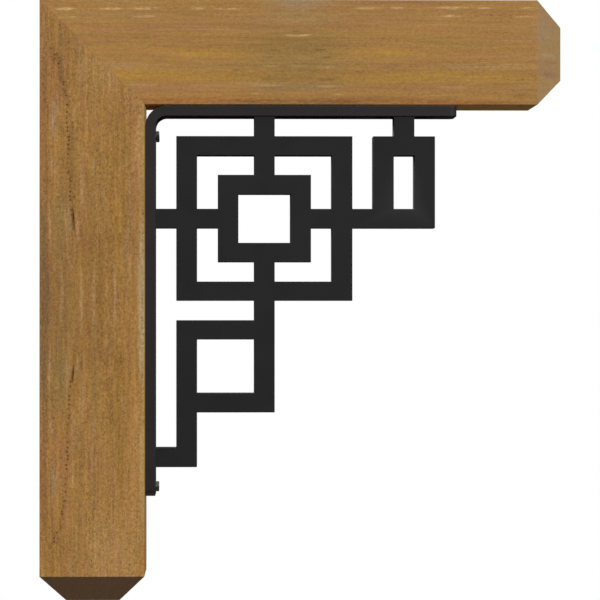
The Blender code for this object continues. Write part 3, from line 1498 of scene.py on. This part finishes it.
@dataclass
class PhotoCamera:
    """The photograph's own viewpoint, worked out from how the far edges draw in behind the near ones."""

    top: float
    front: float
    distance: float = 4.375
    eye_x: float = 0.2241
    eye_drop: float = 0.3911
    aim_x: float = 0.3291
    aim_drop: float = 0.37993
    lens_mm: float = 207.6
    sensor_mm: float = 36.0

    def build(self) -> None:
        """Makes the camera and hands it to the scene."""
        eye = Vector((self.eye_x, self.front - self.distance, self.top - self.eye_drop))
        aim = Vector((self.aim_x, self.front, self.top - self.aim_drop))
        data = bpy.data.cameras.new("photo_camera")
        data.lens = self.lens_mm
        data.sensor_width = self.sensor_mm
        data.clip_end = 50.0
        camera = bpy.data.objects.new("photo_camera", data)
        camera.location = eye
        camera.rotation_mode = "QUATERNION"
        camera.rotation_quaternion = (aim - eye).to_track_quat("-Z", "Y")
        bpy.context.scene.collection.objects.link(camera)
        bpy.context.scene.camera = camera


def beam_finish(top: float, front: float) -> StainedTimber:
    """The beam's own figure: level bands of gold, olive and mauve under a line of pale flecks.

    Args:
        top: The height of the beam's outer face.
        front: Where its front face lies along Y.

    Returns:
        The beam's finish.
    """
    gold = "#a67c2c"
    pale = "#c6a470"
    mauve = "#9c6e48"
    dark = "#6c5220"
    return StainedTimber(
        name="beam stained planed softwood",
        grain=Grain.LEVEL,
        top=top,
        middle=0.326,
        front=front,
        seed=3.1,
        heart=(35.0, -95.0),
        body_colour="#9d7339",
        end_colour="#74664e",
        pores=Pores(strength=0.3, crowding=0.46),
        drifts=(
            Drift("#9c6c44", along=160.0, across=14.0, start=0.5, strength=0.45),
            Drift("#96783c", along=180.0, across=10.0, start=0.52, strength=0.45),
            Drift("#a57d50", along=120.0, across=7.0, start=0.52, strength=0.4),
        ),
        flecks=(
            Fleck(along=300.0, across=30.0, contrast=0.2),
            Fleck(along=200.0, across=6.0, contrast=0.35),
            Fleck(along=50.0, across=2.6, contrast=0.4),
            Fleck(along=5.0, across=3.0, contrast=0.5),
            Fleck(along=2.4, across=1.7, contrast=0.6),
        ),
        streaks=(
            # Broad bands first
            Streak(0.0, 2.0, 120.0, 44.0, "#98886c", 0.55, raggedness=0.2, core=0.0),
            Streak(0.0, 66.0, 250.0, 120.0, "#7c6a34", 0.5, raggedness=0.2, core=0.0),
            Streak(180.0, 25.0, 420.0, 50.0, "#a5784c", 0.2, raggedness=0.3),
            Streak(0.0, 25.0, 180.0, 22.0, "#907e5c", 0.3, raggedness=0.2, core=0.0),
            Streak(30.0, 56.0, 300.0, 22.0, "#8a622e", 0.25, raggedness=0.2, core=0.0),
            Streak(110.0, 68.0, 150.0, 17.0, gold, 0.7),
            Streak(250.0, 84.5, 220.0, 14.0, "#ac8a58", 0.45, raggedness=0.4),
            Streak(190.0, 98.0, 420.0, 22.0, gold, 0.75),
            Streak(0.0, 79.0, 260.0, 12.0, "#8c7248", 0.3),
            Streak(0.0, 98.7, 220.0, 15.0, "#84602e", 0.25, raggedness=0.3, core=0.0),
            Streak(0.0, 111.0, 200.0, 16.0, "#7e6c50", 0.5),
            Streak(200.0, 112.0, 380.0, 16.0, mauve, 0.4),
            Streak(100.0, 129.0, 400.0, 19.0, "#8a5422", 0.7),
            Streak(230.0, 131.0, 220.0, 10.0, "#94501e", 0.6),
            Streak(20.0, 129.0, 190.0, 14.0, "#62482c", 0.5),
            # Pale flecks in two lines near the top, and round the middle
            Streak(197.0, 11.6, 60.0, 5.4, pale, 0.75, raggedness=0.8),
            Streak(234.0, 11.8, 38.0, 4.6, pale, 0.65, raggedness=0.8),
            Streak(293.0, 11.4, 34.0, 5.4, pale, 0.75, raggedness=0.8),
            Streak(87.0, 11.6, 48.0, 4.8, pale, 0.6, raggedness=0.8),
            Streak(126.0, 11.6, 26.0, 4.8, pale, 0.55, raggedness=0.8),
            Streak(195.0, 21.6, 44.0, 4.2, pale, 0.7, raggedness=0.8),
            Streak(290.0, 22.0, 40.0, 4.2, pale, 0.6, raggedness=0.8),
            Streak(7.0, 45.8, 28.0, 3.8, "#c8aa76", 0.55, raggedness=0.5, lean=5.0),
            Streak(0.0, 84.0, 30.0, 5.0, pale, 0.3),
            Streak(35.0, 85.0, 32.0, 4.0, pale, 0.35),
            Streak(39.0, 108.6, 52.0, 4.6, pale, 0.35),
            Streak(198.0, 110.0, 52.0, 6.0, pale, 0.3),
            Streak(52.0, 119.0, 20.0, 4.0, pale, 0.35),
            # Dark dashes round the middle
            Streak(25.0, 14.6, 40.0, 5.0, dark, 0.35),
            Streak(0.0, 40.5, 24.0, 4.6, dark, 0.4),
            Streak(200.0, 48.0, 40.0, 3.6, dark, 0.35),
            Streak(30.0, 64.0, 24.0, 3.6, dark, 0.75),
            Streak(35.0, 73.4, 20.0, 4.0, dark, 0.6),
            Streak(24.0, 91.0, 24.0, 3.6, dark, 0.6),
            Streak(78.0, 90.0, 16.0, 3.6, dark, 0.6),
            Streak(36.0, 100.4, 30.0, 5.2, dark, 0.6),
            Streak(62.0, 129.0, 34.0, 4.0, "#6a4218", 0.5),
            Streak(283.0, 122.0, 30.0, 11.0, "#7a5220", 0.5),
            # Patches on the chamfers
            Streak(318.0, 40.0, 60.0, 50.0, "#a08464", 0.5, raggedness=0.2, core=0.0),
            Streak(322.0, 88.0, 60.0, 34.0, "#8e5636", 0.6, raggedness=0.3, core=0.0),
            Streak(326.0, 78.0, 44.0, 8.0, "#83502e", 0.7, raggedness=0.3),
            Streak(326.0, 93.5, 44.0, 13.0, "#7a4628", 0.95, raggedness=0.3),
            Streak(318.0, 20.0, 40.0, 14.0, "#9c6848", 0.5, raggedness=0.4),
            Streak(320.0, 70.0, 40.0, 8.0, "#b49a70", 0.6, raggedness=0.5),
            Streak(320.0, 35.0, 48.0, 16.0, "#8a6034", 0.5, raggedness=0.3, core=0.0),
        ),
    )


def post_finish(top: float, front: float) -> StainedTimber:
    """The post's own figure: upright streaks round a trail of open pores that ends in two checks.

    Args:
        top: The height of the post's mitred end.
        front: Where its front face lies along Y.

    Returns:
        The post's finish.
    """
    pale = "#b4956a"
    dark = "#6e4a1e"
    grey_brown = "#6a5238"
    return StainedTimber(
        name="post stained planed softwood",
        grain=Grain.UPRIGHT,
        top=top,
        middle=0.3775,
        front=front,
        seed=11.7,
        heart=(-25.0, -80.0),
        body_colour="#986e35",
        # Its end colour is darker than the beam's: end grain, and painted shade on the downward-facing foot
        end_colour="#624426",
        pores=Pores(strength=0.6, width=2.8, length=5.0, crowding=0.46),
        drifts=(
            Drift("#936240", along=120.0, across=14.0, start=0.5, strength=0.4),
            Drift("#93743e", along=140.0, across=12.0, start=0.5, strength=0.4),
            Drift("#a37c54", along=80.0, across=7.0, start=0.52, strength=0.4),
        ),
        flecks=(
            Fleck(along=260.0, across=34.0, contrast=0.3),
            Fleck(along=200.0, across=5.0, contrast=0.5),
            Fleck(along=30.0, across=2.8, contrast=0.6),
            Fleck(along=4.0, across=3.2, contrast=0.9),
            Fleck(along=2.0, across=1.7, contrast=1.2),
        ),
        streaks=(
            # Broad bands first
            Streak(0.0, 66.0, 460.0, 150.0, "#805c24", 0.45, raggedness=0.2, core=0.0),
            Streak(0.0, 16.0, 430.0, 74.0, "#785430", 0.5, raggedness=0.2, core=0.0),
            Streak(74.0, 76.0, 44.0, 90.0, "#80562a", 0.35, raggedness=0.3, core=0.0),
            Streak(320.0, 84.0, 200.0, 100.0, "#ae8852", 0.45, raggedness=0.3, core=0.0),
            Streak(150.0, 99.0, 260.0, 30.0, "#8a641c", 0.5),
            Streak(190.0, 122.0, 200.0, 22.0, "#b08250", 0.35, raggedness=0.3, core=0.0),
            Streak(325.0, 36.0, 110.0, 80.0, "#7c5628", 0.3, raggedness=0.2, core=0.0),
            Streak(0.0, 91.5, 70.0, 17.0, "#74522c", 0.35, raggedness=0.3, core=0.0),
            Streak(96.0, 108.5, 60.0, 17.0, "#8a6418", 0.3, raggedness=0.3, core=0.0),
            Streak(0.0, 130.0, 300.0, 18.0, "#a8946c", 0.75, raggedness=0.2),
            Streak(210.0, 130.0, 260.0, 14.0, "#a48a54", 0.5, raggedness=0.2),
            Streak(100.0, 26.0, 150.0, 30.0, "#776c40", 0.45, raggedness=0.4, core=0.0),
            Streak(230.0, 18.4, 76.0, 16.0, "#907660", 0.5, raggedness=0.3, core=0.0),
            Streak(0.0, 5.0, 440.0, 18.0, "#664e30", 0.55, raggedness=0.3),
            Streak(230.0, 5.0, 260.0, 14.0, "#87562a", 0.55, raggedness=0.3),
            # Pale streaks, in step on both sides of the middle
            Streak(0.0, 95.0, 140.0, 6.0, pale, 0.45, lean=1.0),
            Streak(0.0, 68.4, 130.0, 6.0, pale, 0.4, lean=1.2),
            Streak(0.0, 53.9, 110.0, 6.0, pale, 0.4, lean=1.6),
            Streak(0.0, 28.0, 140.0, 6.0, pale, 0.35, lean=2.0),
            Streak(95.0, 34.9, 64.0, 14.0, pale, 0.25, lean=3.0),
            Streak(95.0, 12.7, 96.0, 5.0, pale, 0.4, lean=1.0),
            Streak(131.0, 53.9, 66.0, 8.0, pale, 0.3),
            Streak(78.0, 127.3, 60.0, 6.0, "#b89c72", 0.4),
            Streak(232.0, 18.4, 50.0, 8.0, pale, 0.25),
            Streak(88.0, 47.6, 44.0, 6.0, pale, 0.35, lean=3.0),
            Streak(166.0, 15.6, 40.0, 6.0, pale, 0.4),
            Streak(163.0, 68.0, 34.0, 6.0, pale, 0.3),
            Streak(233.0, 43.3, 30.0, 4.6, pale, 0.4),
            # Dark streaks, the first two under the trail of pores
            Streak(165.0, 38.4, 210.0, 9.0, dark, 0.35, raggedness=0.4, lean=2.1),
            Streak(275.0, 30.0, 90.0, 9.0, dark, 0.5, raggedness=0.4, lean=12.0),
            Streak(0.0, 10.4, 150.0, 4.6, grey_brown, 0.7, lean=0.8),
            Streak(150.0, 8.3, 130.0, 9.0, dark, 0.35),
            Streak(78.0, 6.4, 56.0, 6.0, grey_brown, 0.5),
            Streak(152.0, 59.6, 36.0, 4.0, dark, 0.5),
            Streak(40.0, 86.2, 40.0, 4.0, dark, 0.5),
            Streak(0.0, 86.6, 30.0, 4.0, dark, 0.4),
            Streak(84.0, 53.0, 26.0, 4.0, dark, 0.6),
            Streak(76.0, 101.0, 24.0, 6.0, dark, 0.4),
            Streak(238.0, 11.0, 44.0, 4.0, dark, 0.4),
            # Painted shade inside the two checks, which the shadowless key lamp leaves lit
            Streak(94.0, 42.6, 30.0, 4.0, "#3a230c", 0.7, raggedness=0.2, lean=6.0),
            Streak(304.0, 20.0, 26.0, 16.0, "#63401a", 0.5, raggedness=0.9),
        ),
        trail=PoreTrail(
            nearest=98.0, farthest=318.0, across=41.0, slant=0.037, bend_start=230.0, bend=0.0024
        ),
    )


def main() -> None:
    """Builds the bracket's pieces, the studio and the camera, in that order."""
    logging.basicConfig(level=logging.INFO, format="%(name)s %(message)s")
    beam_low, beam_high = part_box("beam")
    post_low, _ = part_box("post")
    strap_low, strap_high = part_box("strap")
    top = beam_high.z
    face = beam_high.z - beam_low.z
    depth = beam_high.y - beam_low.y

    strap_coat = PowderCoatedSteel("strap powder-coated steel", "#1f1c1d")
    strap = BentStrap("bent_strap", strap_low, strap_high, strap_coat)
    side = strap_low.x + strap.thickness
    underside = strap_high.z - strap.thickness
    bend_end = underside - strap.bend_radius
    # Both screws are taken to be the same steel. With one colour, the upper head came out half as bright as
    # in the photograph, so its colour alone is raised to match, as painted light on the upper head.
    upper_oxide_painted_light = BlackOxideSteel("upper lag screw black oxide steel", "#747373")
    lower_oxide = BlackOxideSteel("lower lag screw black oxide steel")
    screws = [
        LagScrew(
            "upper_lag_screw", "upper_screw", side, bend_end - UPPER_SCREW_BELOW_BEND, upper_oxide_painted_light,
            tilt=UPPER_SCREW_TILT, head_turn=UPPER_SCREW_TURN,
        ),
        LagScrew(
            "lower_lag_screw", "lower_screw", side, strap_low.z + LOWER_SCREW_ABOVE_FOOT, lower_oxide
        ),
    ]

    beam_wood = beam_finish(top, beam_low.y)
    Timber("beam_timber", "beam", Grain.LEVEL, beam_high.x, face, depth, top, beam_wood).build([])
    checks = (
        Check(along=0.276, across=0.0425, length=0.028, width=0.0024, depth=0.004, lean=math.radians(5.0)),
        Check(along=0.477, across=0.0420, length=0.024, width=0.0021, depth=0.004, lean=math.radians(-5.0)),
    )
    post_wood = post_finish(top, beam_low.y)
    post = Timber(
        "post_timber", "post", Grain.UPRIGHT, top - post_low.z, face, depth, top, post_wood,
        # The foot's facets take more of the darker end colour, as painted shade on the downward-facing foot
        checks, chamfer_end_grain_and_shade=0.8,
    )
    post.build([screw.hole_cutter() for screw in screws])
    strap.build([screw.hole_cutter() for screw in screws])
    panel = Fretwork("fretwork_panel", side, underside, PowderCoatedSteel("fretwork powder-coated steel"))
    panel.build(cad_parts["fretwork"])
    for screw in screws:
        screw.build()

    Studio().build()
    PhotoCamera(top=top, front=beam_low.y).build()


if __name__ == "__main__":
    main()
